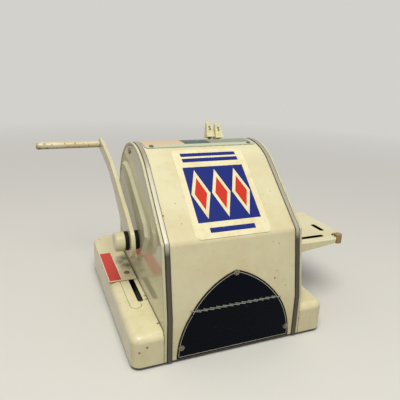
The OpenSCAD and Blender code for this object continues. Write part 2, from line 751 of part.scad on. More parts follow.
module slide_plate() color(cream) centred() difference() {
    on_wing(slide_front) translate([rim_out + 0.8, 0, 0.3]) linear_extrude(slide_t) difference() {
        square([slide_w, slide_front - slide_back]);
        translate([slide_w - slide_corner, 0]) difference() {
            translate([0, -1]) square([slide_corner + 1, slide_corner + 1]);
            translate([0, slide_corner]) circle(r = slide_corner);
        }
    }
    translate([slide_screw_x, -slide_screw_y, 0]) cylinder(r = slide_screw_r + 0.2, h = 100);
}
slide_screw_x = wing_slot_x + 1.6;
slide_screw_r = 1.2;
slide_w = base_w / 2 - rim_out + 0.2;
slide_corner = 14;

module slide_screw() color(steel) centred() translate([slide_screw_x, 0, 0]) on_wing(slide_screw_y)
    translate([0, 0, 0.3 + slide_t]) {
        screw(3.5, 0.8, slide_screw_r, slide_t + base_wall + 4);
        translate([0, 0, -slide_t - base_wall - 2.6]) cylinder(r = 5, h = 1.6);
    }

// One selector: arm, notched disc and the sector that carries the type.
module selector_lever(i) color(steel) centred() translate([column_x(i), key[0], key[1]]) rotate([rest_a(i), 0, 0])
    difference() {
        union() {
            across(-lever_t / 2, lever_t / 2) {
                circle(r = hub_disc_r);
                translate([-lever_w / 2, 0]) square([lever_w, lever_tip]);
                sector(0, type_r - type_h);
            }
            across(-type_w / 2, type_w / 2) sector(type_r - type_h - 5, type_r - type_h);
            for (k = [0:9]) rotate([180 - first_a - step_a * k, 0, 0])
                translate([-type_w / 2 + 0.3, -1.6, type_r - type_h - 0.2]) cube([type_w - 0.6, 3.2, type_h + 0.2]);
        }
        bar([0, 0], key_shaft_r + run_gap, -10, 10);
        for (k = [0:9]) rotate([comb_a - first_a - step_a * k, 0, 0])
            translate([-5, 0, hub_disc_r + 0.2]) rotate([0, 90, 0]) cylinder(r = 0.9, h = 10);
    }

// Ring sector that faces the print line at every figure.
module sector(inner, outer) {
    a0 = 180 - first_a - step_a * 9 - 4;
    a1 = 180 - first_a + 4;
    difference() {
        intersection() {
            circle(r = outer);
            polygon([[0, 0], around(a0, 60), around((a0 + a1) / 2, 80), around(a1, 60)]);
        }
        if (inner > 0) circle(r = inner);
    }
}

// A wedge-shaped tab, pushed over the end of a lever.
module selector_tab(i) color(cream) centred() translate([column_x(i), key[0], key[1]]) rotate([rest_a(i), 0, 0])
    difference() {
        translate([0, 0, -tab_push[i - 1]]) intersection() {
            rotate([90, 0, 0]) translate([0, 0, -10]) linear_extrude(20) polygon([[-tab_foot_w / 2, tab_foot],
                [tab_foot_w / 2, tab_foot], [tab_top_w / 2, tab_foot + tab_h], [-tab_top_w / 2, tab_foot + tab_h]]);
            across(-10, 10) polygon([[-tab_d_foot / 2, tab_foot], [tab_d_foot / 2, tab_foot],
                [tab_d_top / 2, tab_foot + tab_h], [-tab_d_top / 2, tab_foot + tab_h]]);
        }
        translate([-lever_t / 2 - seat_gap, -lever_w / 2 - seat_gap, tab_foot - 3])
            cube([lever_t + 2 * seat_gap, lever_w + 2 * seat_gap, lever_tip - tab_foot + 3 + seat_gap]);
    }

base_housing();
bottom_plate();
rubber_feet();
base_screws();
rear_cover();
right_side_plate();
left_side_plate();
trim_strips();
keyboard_panel();
front_apron();
throat_bed();
top_strip();
cover_screws();
nameplate();
slope_label();
right_frame();
left_frame();
frame_rods();
selector_shaft();
selector_spacers();
detent_comb();
handle_bearings();
handle_spring();
check_table();
table_corner_stop();
guide_posts();
ribbon();
spool_brackets();
handle_arm();
grip_rod();
hub_cap();
hub_washers();
handle_shaft();
crank_disc();
platen_carriage();
platen_pad();
right_spool();
left_spool();
slide_plate();
slide_screw();
for (i = [1:columns]) {
    selector_lever(i);
    selector_tab(i);
}
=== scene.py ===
import json
import math

import bmesh
import bpy
from mathutils import Matrix, Vector

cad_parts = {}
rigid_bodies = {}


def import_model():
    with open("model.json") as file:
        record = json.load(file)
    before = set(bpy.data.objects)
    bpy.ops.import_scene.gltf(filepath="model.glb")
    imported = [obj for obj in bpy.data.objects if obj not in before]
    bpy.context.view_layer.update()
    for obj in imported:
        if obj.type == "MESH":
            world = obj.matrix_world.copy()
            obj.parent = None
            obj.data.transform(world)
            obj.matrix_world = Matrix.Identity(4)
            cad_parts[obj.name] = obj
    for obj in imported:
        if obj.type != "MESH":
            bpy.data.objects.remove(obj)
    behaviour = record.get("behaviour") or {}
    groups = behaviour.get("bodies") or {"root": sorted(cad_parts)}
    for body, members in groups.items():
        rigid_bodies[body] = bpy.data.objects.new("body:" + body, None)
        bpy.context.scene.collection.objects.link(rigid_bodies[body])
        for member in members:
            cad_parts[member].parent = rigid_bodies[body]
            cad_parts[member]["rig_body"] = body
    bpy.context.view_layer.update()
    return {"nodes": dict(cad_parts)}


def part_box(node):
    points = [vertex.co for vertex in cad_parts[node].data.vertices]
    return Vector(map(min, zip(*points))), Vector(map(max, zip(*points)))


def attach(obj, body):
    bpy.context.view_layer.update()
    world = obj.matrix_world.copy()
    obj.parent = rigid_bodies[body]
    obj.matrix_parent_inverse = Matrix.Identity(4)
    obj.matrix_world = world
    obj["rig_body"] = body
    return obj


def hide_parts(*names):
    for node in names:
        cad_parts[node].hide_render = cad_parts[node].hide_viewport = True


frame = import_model()

# ---- Base casting ----
# A shallow cast shell with a wing on each side of the body. It is stove enamelled in cream, and the
# paint has pulled thin along the edges, where it is rubbed and chipped down to brown primer.
MM = 0.001


def linear(code):
    """An sRGB hex value as a linear colour."""
    parts = [int(code[i:i + 2], 16) / 255 for i in (1, 3, 5)]
    return [c / 12.92 if c <= 0.04045 else ((c + 0.055) / 1.055) ** 2.4 for c in parts] + [1.0]


def add(tree, kind, links=None, **settings):
    """Adds a node with its settings, and sets or links its inputs by name or number."""
    made = tree.nodes.new(kind)
    for key, value in settings.items():
        setattr(made, key, value)
    for key, value in (links or {}).items():
        if isinstance(value, bpy.types.NodeSocket):
            tree.links.new(value, made.inputs[key])
        else:
            made.inputs[key].default_value = value
    return made


def blank(name):
    """A new material with an empty tree, and the place of each point in the machine."""
    material = bpy.data.materials.new(name)
    material.use_nodes = True
    tree = material.node_tree
    tree.nodes.clear()
    return material, tree, add(tree, "ShaderNodeTexCoord").outputs["Object"]


def specks(tree, place, spacing, size, share):
    """Scattered dots. The spacing of their cells and their size are in millimetres."""
    cells = add(tree, "ShaderNodeTexVoronoi", {"Vector": place, "Scale": 1 / (spacing * MM)})
    dots = add(tree, "ShaderNodeMapRange", {"Value": cells.outputs["Distance"], "From Min": size / spacing,
                                            "From Max": 0.6 * size / spacing}).outputs[0]
    pick = add(tree, "ShaderNodeSeparateColor", {0: cells.outputs["Color"]}).outputs[0]
    held = add(tree, "ShaderNodeMath", {0: pick, 1: share}, operation="LESS_THAN").outputs[0]
    return add(tree, "ShaderNodeMath", {0: dots, 1: held}, operation="MULTIPLY").outputs[0]


def rubbed_edges(tree, place, reach, patch, low, high):
    """Where an edge lies within reach, broken up in patches, both in millimetres."""
    round_normal = add(tree, "ShaderNodeBevel", {"Radius": reach * MM}, samples=4).outputs[0]
    true_normal = add(tree, "ShaderNodeNewGeometry").outputs["Normal"]
    facing = add(tree, "ShaderNodeVectorMath", {0: round_normal, 1: true_normal}, operation="DOT_PRODUCT")
    edge = add(tree, "ShaderNodeMapRange", {"Value": facing.outputs["Value"], "From Min": 0.985,
                                            "From Max": 0.93}).outputs[0]
    patches = add(tree, "ShaderNodeTexNoise", {"Vector": place, "Scale": 1 / (patch * MM), "Detail": 3.0,
                                               "Roughness": 0.6}).outputs[0]
    broken = add(tree, "ShaderNodeMapRange", {"Value": patches, "From Min": low, "From Max": high}).outputs[0]
    return add(tree, "ShaderNodeMath", {0: edge, 1: broken}, operation="MULTIPLY").outputs[0]


def stoved_enamel(name, paint, aged, chips=1.0, dirt=1.0, gloss=(0.14, 0.3), marks=()):
    """Stoved enamel on metal: a glossy film with faint orange peel, yellowed in clouds, with rust specks,
    dirty smears and brown chips along the edges. Its corners are darkened as painted shade, and a black band
    at its foot is a painted shadow line under the base. Each mark is a place and a radius in millimetres, and
    a strength: broad and faint for grease and painted shadow, small and dark for a chip."""
    material, tree, place = blank(name)
    clouds = add(tree, "ShaderNodeTexNoise", {"Vector": place, "Scale": 1 / (55 * MM), "Detail": 4.0,
                                              "Roughness": 0.6}).outputs[0]
    cloud = add(tree, "ShaderNodeMapRange", {"Value": clouds, "From Min": 0.42, "From Max": 0.68}).outputs[0]
    smears = add(tree, "ShaderNodeTexNoise", {"Vector": place, "Scale": 1 / (7 * MM), "Detail": 5.0,
                                              "Roughness": 0.7}).outputs[0]
    smear = add(tree, "ShaderNodeMapRange", {"Value": smears, "From Min": 0.56, "From Max": 0.8,
                                             "To Max": 0.28 * dirt}).outputs[0]
    # Painted shade: an occlusion mask darkens the paint in corners and recesses, where shade falls. The dirt
    # setting scales it together with the real smears.
    corners = add(tree, "ShaderNodeAmbientOcclusion", {"Distance": 5 * MM}, samples=4).outputs["AO"]
    painted_corner_shade = add(tree, "ShaderNodeMapRange", {"Value": corners, "From Min": 0.62, "From Max": 0.2,
                                             "To Max": 0.75 * dirt}).outputs[0]
    coats = [(smear, "#A8946C"), (painted_corner_shade, "#5B4A30")]
    for spot, radius, strength in marks:
        off = add(tree, "ShaderNodeVectorMath", {0: place, 1: Vector(spot) * MM},
                  operation="DISTANCE").outputs["Value"]
        ragged = add(tree, "ShaderNodeMath", {0: smears, 1: -0.8 * radius * MM, 2: off},
                     operation="MULTIPLY_ADD").outputs[0]
        mark = add(tree, "ShaderNodeMapRange", {"Value": ragged, "From Min": 0.6 * radius * MM,
                                                "From Max": -0.3 * radius * MM,
                                                "To Max": strength}).outputs[0]
        coats.append((mark, "#2E2A1E"))
    for spacing, size, share, rust in ((9, 0.7, 0.35, "#6E4526"), (17, 1.2, 0.3, "#5F3F22"),
                                       (31, 1.5, 0.5, "#4E3520")):
        coats.append((specks(tree, place, spacing, size, share), rust))
    # Painted shadow: a black band at the very foot stands for the dark shadow line under the base.
    above_floor = add(tree, "ShaderNodeSeparateXYZ", {0: place}).outputs[2]
    foot = add(tree, "ShaderNodeMapRange", {"Value": above_floor, "From Min": 4.2 * MM,
                                            "From Max": 3.4 * MM}).outputs[0]
    worn = rubbed_edges(tree, place, 0.9, 5, 0.58 - 0.03 * chips, 0.66)
    coats += [(foot, "#15120E"), (worn, "#4E3520")]
    colour = add(tree, "ShaderNodeMix", {0: cloud, 6: linear(paint), 7: linear(aged)},
                 data_type="RGBA").outputs[2]
    for share, tone in coats:
        colour = add(tree, "ShaderNodeMix", {0: share, 6: colour, 7: linear(tone)},
                     data_type="RGBA").outputs[2]
    film = add(tree, "ShaderNodeMapRange", {"Value": smears, "From Min": 0.3, "From Max": 0.75,
                                            "To Min": gloss[0], "To Max": gloss[1]}).outputs[0]
    matt = add(tree, "ShaderNodeMix", {0: worn, 2: film, 3: 0.8}).outputs[0]
    peel = add(tree, "ShaderNodeTexNoise", {"Vector": place, "Scale": 1 / (6 * MM), "Detail": 1.0}).outputs[0]
    relief = add(tree, "ShaderNodeMath", {0: worn, 1: -0.5, 2: peel}, operation="MULTIPLY_ADD").outputs[0]
    bump = add(tree, "ShaderNodeBump", {"Height": relief, "Strength": 0.1, "Distance": 0.1 * MM}).outputs[0]
    shader = add(tree, "ShaderNodeBsdfPrincipled", {"Base Color": colour, "Roughness": matt, "Normal": bump})
    add(tree, "ShaderNodeOutputMaterial", {"Surface": shader.outputs[0]})
    return material


def moulded(name, base, worn, rough, pores=0.8, weight=0.25, shine=0.5):
    """A moulding, a dull paint or a black stand-in for shade, with a fine grain and a cloudy bloom on it."""
    material, tree, place = blank(name)
    bloom = add(tree, "ShaderNodeTexNoise", {"Vector": place, "Scale": 1 / (5 * MM),
                                             "Detail": 4.0}).outputs[0]
    share = add(tree, "ShaderNodeMapRange", {"Value": bloom, "From Min": 0.45, "From Max": 0.75}).outputs[0]
    colour = add(tree, "ShaderNodeMix", {0: share, 6: linear(base), 7: linear(worn)},
                 data_type="RGBA").outputs[2]
    grain = add(tree, "ShaderNodeTexNoise", {"Vector": place, "Scale": 1 / (pores * MM),
                                             "Detail": 2.0}).outputs[0]
    roughness = add(tree, "ShaderNodeMapRange", {"Value": bloom, "To Min": rough,
                                                 "To Max": rough + 0.2}).outputs[0]
    bump = add(tree, "ShaderNodeBump", {"Height": grain, "Strength": weight,
                                        "Distance": 0.08 * MM}).outputs[0]
    shader = add(tree, "ShaderNodeBsdfPrincipled", {"Base Color": colour, "Roughness": roughness,
                                                    "Normal": bump, "Specular IOR Level": shine})
    add(tree, "ShaderNodeOutputMaterial", {"Surface": shader.outputs[0]})
    return material


def put(mesh, name, body, material):
    """Makes a bmesh a smooth-shaded piece with crisp corners, riding on a CAD body."""
    data = bpy.data.meshes.new(name)
    for face in mesh.faces:
        face.smooth = True
    for edge in mesh.edges:
        edge.smooth = not (edge.is_manifold and edge.calc_face_angle() > math.radians(34))
    mesh.to_mesh(data)
    mesh.free()
    piece = bpy.data.objects.new(name, data)
    bpy.context.scene.collection.objects.link(piece)
    data.materials.append(material)
    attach(piece, body)
    return piece


def eased(node, name, width, material, segments=3, sharp=26, first=None):
    """Stands for a CAD node with its corners rounded by width millimetres, as paint or a tool leaves them.
    A function given as first shapes the mesh before that."""
    source = frame["nodes"][node]
    mesh = bmesh.new()
    mesh.from_mesh(source.data)
    bmesh.ops.remove_doubles(mesh, verts=mesh.verts, dist=0.004 * MM)
    bmesh.ops.dissolve_limit(mesh, angle_limit=math.radians(0.3), verts=mesh.verts, edges=mesh.edges)
    if first:
        first(mesh)
    corners = [e for e in mesh.edges if e.is_manifold and e.calc_face_angle() > math.radians(sharp)]
    bmesh.ops.bevel(mesh, geom=corners, offset=width * MM, segments=segments, profile=0.5, affect="EDGES",
                    material=-1, clamp_overlap=False)
    piece = put(mesh, name, source["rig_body"], material)
    even = piece.modifiers.new("even shading", "WEIGHTED_NORMAL")
    even.keep_sharp = True
    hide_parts(node)
    return piece


def blacken(piece, *cuts):
    """Blackens the walls of slots as painted shade, for the shade inside them. Each cut is a box in
    millimetres: X, X, Y, Y, and its top.
    """
    piece.data.materials.append(painted_slot_shade)
    for face in piece.data.polygons:
        x, y, z = face.center / MM
        if face.normal.z < 0.6 and any(a < x < b and c < y < d and z < top for a, b, c, d, top in cuts):
            face.material_index = 1


# Chips down to the primer, in millimetres: round the handle-side wing, and low on the rear wall.
CHIPS = ((107.8, 141.8, 34.0), (98.5, 141.8, 26.5), (106.6, 141.8, 21.8), (81.8, 68.2, 41.3),
         (81.8, 122.6, 39.0), (81.8, 75.2, 41.0), (70.8, 141.8, 10.0), (71.2, 141.8, 14.0),
         (70.6, 141.8, 20.5), (71.1, 141.8, 24.5), (112.0, 10.0, 44.5), (113.5, 16.0, 40.0))
WING_SLOT = (84.6, 92.2, -50, 90, 60)
cream = stoved_enamel("stoved cream enamel", "#E8DFB8", "#DCCFA4", marks=[(spot, 1.9, 1.0) for spot in CHIPS])
painted_slot_shade = moulded("black painted shade in the slots", "#070706", "#15130F", 0.8, shine=0.1)
# The walls of the wing's slot are blackened: painted shade.
blacken(eased("base_housing", "base_casting", 0.5, cream), WING_SLOT)

# ---- Bottom plate, feet and their screws ----
# The plate is oiled sheet steel, and the feet are moulded rubber pads that screw to it. The screws are
# zinc plated and dulled by handling.


def rolled_steel(name, bright, dull, rough, stain="#5A4632", stained=0.35):
    """Rolled or turned metal with fine streaks, clouded by oil and touched with rust."""
    material, tree, place = blank(name)
    stretched = add(tree, "ShaderNodeMapping", {"Vector": place, "Scale": (90, 1400, 1400)}).outputs[0]
    streaks = add(tree, "ShaderNodeTexNoise", {"Vector": stretched, "Scale": 1.0, "Detail": 3.0}).outputs[0]
    colour = add(tree, "ShaderNodeMix", {0: streaks, 6: linear(bright), 7: linear(dull)},
                 data_type="RGBA").outputs[2]
    clouds = add(tree, "ShaderNodeTexNoise", {"Vector": place, "Scale": 1 / (9 * MM), "Detail": 5.0,
                                              "Roughness": 0.65}).outputs[0]
    cloud = add(tree, "ShaderNodeMapRange", {"Value": clouds, "From Min": 0.56, "From Max": 0.74,
                                             "To Max": stained}).outputs[0]
    colour = add(tree, "ShaderNodeMix", {0: cloud, 6: colour, 7: linear(stain)}, data_type="RGBA").outputs[2]
    roughness = add(tree, "ShaderNodeMapRange", {"Value": clouds, "From Min": 0.3, "From Max": 0.75,
                                                 "To Min": rough, "To Max": rough + 0.25}).outputs[0]
    bump = add(tree, "ShaderNodeBump", {"Height": streaks, "Strength": 0.15,
                                        "Distance": 0.05 * MM}).outputs[0]
    shader = add(tree, "ShaderNodeBsdfPrincipled", {"Base Color": colour, "Roughness": roughness,
                                                    "Normal": bump, "Metallic": 0.9})
    add(tree, "ShaderNodeOutputMaterial", {"Surface": shader.outputs[0]})
    return material


def finish(material, *nodes):
    """Gives CAD nodes that keep their own shape their finish."""
    for node in nodes:
        data = frame["nodes"][node].data
        data.materials.clear()
        data.materials.append(material)
        for face in data.polygons:
            face.material_index = 0


plate_steel = rolled_steel("oiled sheet steel", "#8E8D88", "#6F6E6A", 0.38)
screw_steel = rolled_steel("dulled zinc plate", "#A29A86", "#746B5C", 0.4, "#4A2F1A", 0.6)
rubber = moulded("moulded black rubber", "#0E0C0B", "#1E1B19", 0.62, shine=0.2)
finish(plate_steel, "bottom_plate")
eased("rubber_feet", "rubber_pads", 0.5, rubber)
eased("base_screws", "foot_screws", 0.15, screw_steel, segments=2)

# ---- Side plates ----
# Pressed and cast plates with a raised rim all round. The one on the handle's side has a raised pod
# that carries the handle shaft. Their enamel is the glossiest on the machine.
POD_FACE_X, POD_EASE = 79, 2.4


def soften_pod(mesh):
    """Draws out the shallow edges of the raised pod, as the fillets of a casting are."""
    shallow = [e for e in mesh.edges if e.is_manifold and 16 < math.degrees(e.calc_face_angle()) < 60
               and e.calc_length() > 4 * MM and all(v.co.x > POD_FACE_X * MM for v in e.verts)]
    bmesh.ops.bevel(mesh, geom=shallow, offset=POD_EASE * MM, segments=6, profile=0.5, affect="EDGES",
                    material=-1, clamp_overlap=True)


side_enamel = stoved_enamel("stoved cream enamel, polished", "#D5D1AE", "#CAC49E", chips=1.3,
                            gloss=(0.05, 0.12))
eased("right_side_plate", "handle_side_plate", 0.7, side_enamel, segments=4, first=soften_pod)
eased("left_side_plate", "table_side_plate", 0.5, side_enamel)

# ---- Covers ----
# Sheet covers between the side plates: rear wall and slope in one sheet, the keyboard panel, and the
# apron below the throat. The rear wall has yellowed and is rubbed darker low down.
REAR_WALL_Y, KINK_Z = 141.85, 53.5
KNEE_IN, KNEE_Z = 12.27, 129.0
KNEE_Y = REAR_WALL_Y - KNEE_IN
SLOPE = 41.4
LEAN = math.atan2(KNEE_IN, KNEE_Z - KINK_Z)
KNEE_TURN = 90 - SLOPE - math.degrees(LEAN)
KNEE_BEND = 3.2


def bend_knee(mesh):
    """Makes the sharp fold at the knee the soft bend of a folded sheet."""
    fold = [e for e in mesh.edges if e.is_manifold
            and abs(math.degrees(e.calc_face_angle()) - KNEE_TURN) < 1
            and all(abs(v.co.y - KNEE_Y * MM) < 5 * MM and abs(v.co.z - KNEE_Z * MM) < 5 * MM
                    for v in e.verts)]
    bmesh.ops.bevel(mesh, geom=fold, offset=KNEE_BEND * MM, segments=6, profile=0.5, affect="EDGES",
                    material=-1, clamp_overlap=False)


sheet_enamel = stoved_enamel("stoved cream enamel, sheet", "#E5DDB8", "#DCCFA6",
                             marks=[(spot, 1.0, 1.0) for spot in CHIPS])
eased("rear_cover", "rear_sheet", 0.25, sheet_enamel, segments=2, first=bend_knee)
eased("keyboard_panel", "keyboard_sheet", 0.25, cream, segments=2)
eased("front_apron", "apron_sheet", 0.4, cream, segments=2)

# Figures printed beside the slot of each column but the two symbol columns, nought at the top and nine at the
# front.
KEY_Y, KEY_Z, KEY_R = REAR_WALL_Y - 131.5, 130.8, 77.5
COLUMNS, PITCH, FIRST_X = 10, 12.0, 56.5
FIRST_ANGLE, STEP_ANGLE = 18.0, 8.0
SYMBOL_COLUMNS = (8, 9)
FIGURE_HIGH, FIGURE_THICK, PRINT_R = 6.2, 0.08, KEY_R - 0.55


def glyph(text, size, depth):
    """The mesh of one figure, centred, flat on XY, in millimetres."""
    curve = bpy.data.curves.new("glyph", "FONT")
    curve.body, curve.size, curve.extrude, curve.resolution_u = text, size, depth / 2, 3
    curve.align_x, curve.align_y = "CENTER", "CENTER"
    holder = bpy.data.objects.new("glyph", curve)
    bpy.context.scene.collection.objects.link(holder)
    bpy.context.view_layer.update()
    data = bpy.data.meshes.new_from_object(holder)
    bpy.data.objects.remove(holder)
    return data


def stamp(mesh, data, place):
    """Adds a copy of a figure's mesh at a place given in millimetres."""
    old = set(mesh.verts)
    mesh.from_mesh(data)
    new = [v for v in mesh.verts if v not in old]
    bmesh.ops.transform(mesh, matrix=Matrix.Scale(MM, 4) @ place, verts=new)


def on_panel(x, angle, radius):
    """A place on the keyboard's arc: X across, Y up the panel, Z out of it."""
    a = math.radians(angle)
    axes = Matrix(((1, 0, 0), (0, math.cos(a), -math.sin(a)), (0, math.sin(a), math.cos(a)))).to_4x4()
    spot = Vector((x, KEY_Y - radius * math.sin(a), KEY_Z + radius * math.cos(a)))
    return Matrix.Translation(spot) @ axes


def printed(name, ink, under, rough=0.45, wear=0.35):
    """Screen-printed ink, a little worn so that what is under it shows through in places."""
    material, tree, place = blank(name)
    rub = add(tree, "ShaderNodeTexNoise", {"Vector": place, "Scale": 1 / (1.6 * MM), "Detail": 4.0,
                                           "Roughness": 0.7}).outputs[0]
    thin = add(tree, "ShaderNodeMapRange", {"Value": rub, "From Min": 0.54, "From Max": 0.72,
                                            "To Max": wear}).outputs[0]
    colour = add(tree, "ShaderNodeMix", {0: thin, 6: linear(ink), 7: linear(under)},
                 data_type="RGBA").outputs[2]
    bump = add(tree, "ShaderNodeBump", {"Height": rub, "Strength": 0.1, "Distance": 0.03 * MM}).outputs[0]
    shader = add(tree, "ShaderNodeBsdfPrincipled", {"Base Color": colour, "Roughness": rough, "Normal": bump})
    add(tree, "ShaderNodeOutputMaterial", {"Surface": shader.outputs[0]})
    return material


black_print = printed("screen-printed black ink", "#1B1A1C", "#8F8868")
figures = bmesh.new()
digits = [glyph(str(k), FIGURE_HIGH, FIGURE_THICK) for k in range(10)]
for column in range(1, COLUMNS + 1):
    if column in SYMBOL_COLUMNS:
        continue
    beside = FIRST_X - PITCH * (column - 1) - PITCH / 2
    for k in range(10):
        stamp(figures, digits[k], on_panel(beside, FIRST_ANGLE + STEP_ANGLE * k, PRINT_R))
put(figures, "keyboard_figures", "machine_body", black_print)

# ---- Trim strips ----
# Two extruded aluminium strips cover the joints between the covers and the side plates. They are brushed
# along their length. Their colour is a painted reflection: bright on the slope, and darkened on the wall
# below it, where they would mirror the dim floor.
trim_x = [vert.co.x / MM for vert in frame["nodes"]["trim_strips"].data.vertices if vert.co.x > 0]
TRIM_MIDDLE, TRIM_HALF = (max(trim_x) + min(trim_x)) / 2, (max(trim_x) - min(trim_x)) / 2
TRIM_REFLECTION_Z = 127


def brushed_trim(name, bright, dark):
    """Brushed aluminium with a fine scratch grain along the strip and a dark line along each of its edges. It
    is darker below the knee of the cover, a painted reflection of the dim floor, and bright above it."""
    material, tree, place = blank(name)
    stretched = add(tree, "ShaderNodeMapping", {"Vector": place, "Scale": (2600, 60, 60)}).outputs[0]
    grain = add(tree, "ShaderNodeTexNoise", {"Vector": stretched, "Scale": 1.0, "Detail": 4.0,
                                             "Roughness": 0.6}).outputs[0]
    axes = add(tree, "ShaderNodeSeparateXYZ", {0: place})
    # Painted reflection: the strip is coloured darker below the knee and bright above it.
    low = add(tree, "ShaderNodeMapRange", {"Value": axes.outputs[2], "From Min": (TRIM_REFLECTION_Z - 1) * MM,
                                           "From Max": (TRIM_REFLECTION_Z - 9) * MM}).outputs[0]
    colour = add(tree, "ShaderNodeMix", {0: low, 6: linear(bright), 7: linear(dark)},
                 data_type="RGBA").outputs[2]
    shade = add(tree, "ShaderNodeMapRange", {"Value": grain, "From Min": 0.3, "From Max": 0.7, "To Min": 0.8,
                                             "To Max": 1.08}).outputs[0]
    grey = add(tree, "ShaderNodeCombineColor", {0: shade, 1: shade, 2: shade}).outputs[0]
    colour = add(tree, "ShaderNodeMix", {0: 1.0, 6: colour, 7: grey}, data_type="RGBA",
                 blend_type="MULTIPLY").outputs[2]
    side = add(tree, "ShaderNodeMath", {0: axes.outputs[0]}, operation="ABSOLUTE").outputs[0]
    side = add(tree, "ShaderNodeMath", {0: side, 1: TRIM_MIDDLE * MM}, operation="SUBTRACT").outputs[0]
    side = add(tree, "ShaderNodeMath", {0: side}, operation="ABSOLUTE").outputs[0]
    rim = add(tree, "ShaderNodeMapRange", {"Value": side, "From Min": (TRIM_HALF - 1.0) * MM,
                                           "From Max": (TRIM_HALF - 0.5) * MM, "To Max": 0.85}).outputs[0]
    for share, tone in ((rim, "#322C22"), (specks(tree, place, 12, 0.7, 0.35), "#4B3A28")):
        colour = add(tree, "ShaderNodeMix", {0: share, 6: colour, 7: linear(tone)},
                     data_type="RGBA").outputs[2]
    bump = add(tree, "ShaderNodeBump", {"Height": grain, "Strength": 0.2, "Distance": 0.05 * MM}).outputs[0]
    shader = add(tree, "ShaderNodeBsdfPrincipled", {"Base Color": colour, "Roughness": 0.36, "Normal": bump,
                                                    "Metallic": 0.75})
    add(tree, "ShaderNodeOutputMaterial", {"Surface": shader.outputs[0]})
    return material


trim = brushed_trim("brushed aluminium", "#C9C2B2", "#605A52")
eased("trim_strips", "edge_trims", 0.3, trim, segments=2, first=bend_knee)

# ---- Top strip ----
# A thin strip of printed metal over the seam between the covers, held by a screw at each end. Its
# border is pale mint, and its panels are peach, dark green and grey-green, all scuffed.
STRIP_Y, PANEL_HALF, PANEL_END_X = REAR_WALL_Y - 128.5, 10.5, -66
GREEN_FROM_X, PEACH_FROM_X, JOINT_SLANT = -11, 22.5, 0.1


def printed_strip(name):
    """Inks on tin in three panels with slanted joints, scuffed pale, and darkened at the strip's edges,
    partly by dirt and partly as painted shade along its thin rim.
    """
    material, tree, place = blank(name)
    axes = add(tree, "ShaderNodeSeparateXYZ", {0: place})
    x, y = axes.outputs[0], axes.outputs[1]
    across = add(tree, "ShaderNodeMath", {0: y, 1: STRIP_Y * MM}, operation="SUBTRACT").outputs[0]
    across = add(tree, "ShaderNodeMath", {0: across}, operation="ABSOLUTE").outputs[0]
    inside = add(tree, "ShaderNodeMath", {0: across, 1: PANEL_HALF * MM}, operation="LESS_THAN").outputs[0]
    far_end = add(tree, "ShaderNodeMath", {0: x, 1: PANEL_END_X * MM}, operation="GREATER_THAN").outputs[0]
    panel = add(tree, "ShaderNodeMath", {0: inside, 1: far_end}, operation="MULTIPLY").outputs[0]
    slanted = add(tree, "ShaderNodeMath", {0: y, 1: JOINT_SLANT, 2: x}, operation="MULTIPLY_ADD").outputs[0]
    inks = linear("#8B927A")
    for start, ink in ((GREEN_FROM_X, "#27473F"), (PEACH_FROM_X, "#DDBB94")):
        past = add(tree, "ShaderNodeMath", {0: slanted, 1: start * MM}, operation="GREATER_THAN").outputs[0]
        inks = add(tree, "ShaderNodeMix", {0: past, 6: inks, 7: linear(ink)}, data_type="RGBA").outputs[2]
    colour = add(tree, "ShaderNodeMix", {0: panel, 6: linear("#C2C9B0"), 7: inks},
                 data_type="RGBA").outputs[2]
    scuffs = add(tree, "ShaderNodeTexNoise", {"Vector": place, "Scale": 1 / (2.5 * MM), "Detail": 5.0,
                                              "Roughness": 0.75}).outputs[0]
    scuff = add(tree, "ShaderNodeMapRange", {"Value": scuffs, "From Min": 0.54, "From Max": 0.68,
                                             "To Max": 0.7}).outputs[0]
    # The dark edge is partly dirt and partly painted shade along the strip's thin rim.
    for share, tone in ((scuff, "#B9B8A2"), (rubbed_edges(tree, place, 0.7, 5, 0.3, 0.45), "#4A3C28")):
        colour = add(tree, "ShaderNodeMix", {0: share, 6: colour, 7: linear(tone)},
                     data_type="RGBA").outputs[2]
    bump = add(tree, "ShaderNodeBump", {"Height": scuffs, "Strength": 0.2, "Distance": 0.05 * MM}).outputs[0]
    shader = add(tree, "ShaderNodeBsdfPrincipled", {"Base Color": colour, "Roughness": 0.34, "Normal": bump})
    add(tree, "ShaderNodeOutputMaterial", {"Surface": shader.outputs[0]})
    return material


finish(printed_strip("printed tin strip"), "top_strip")

# ---- Slope label ----
# A gummed paper label with rounded corners, stuck on the slope. It has a plain pattern of lozenges and
# rules in navy and red on cream, and its surface is stained and rubbed.
NAVY, RED = "#16277A", "#CE3524"
# Each navy band: its middle along the slope, its half height and its half width. The third is the panel.
BANDS = ((-96.5, 2.8, 34), (-88, 2.8, 34), (-43, 35, 36.5), (1.5, 2.9, 26))
PANEL_MIDDLE, LOZENGES_HALF, LOZENGE_STEP = -43.0, 36.0, 12.0


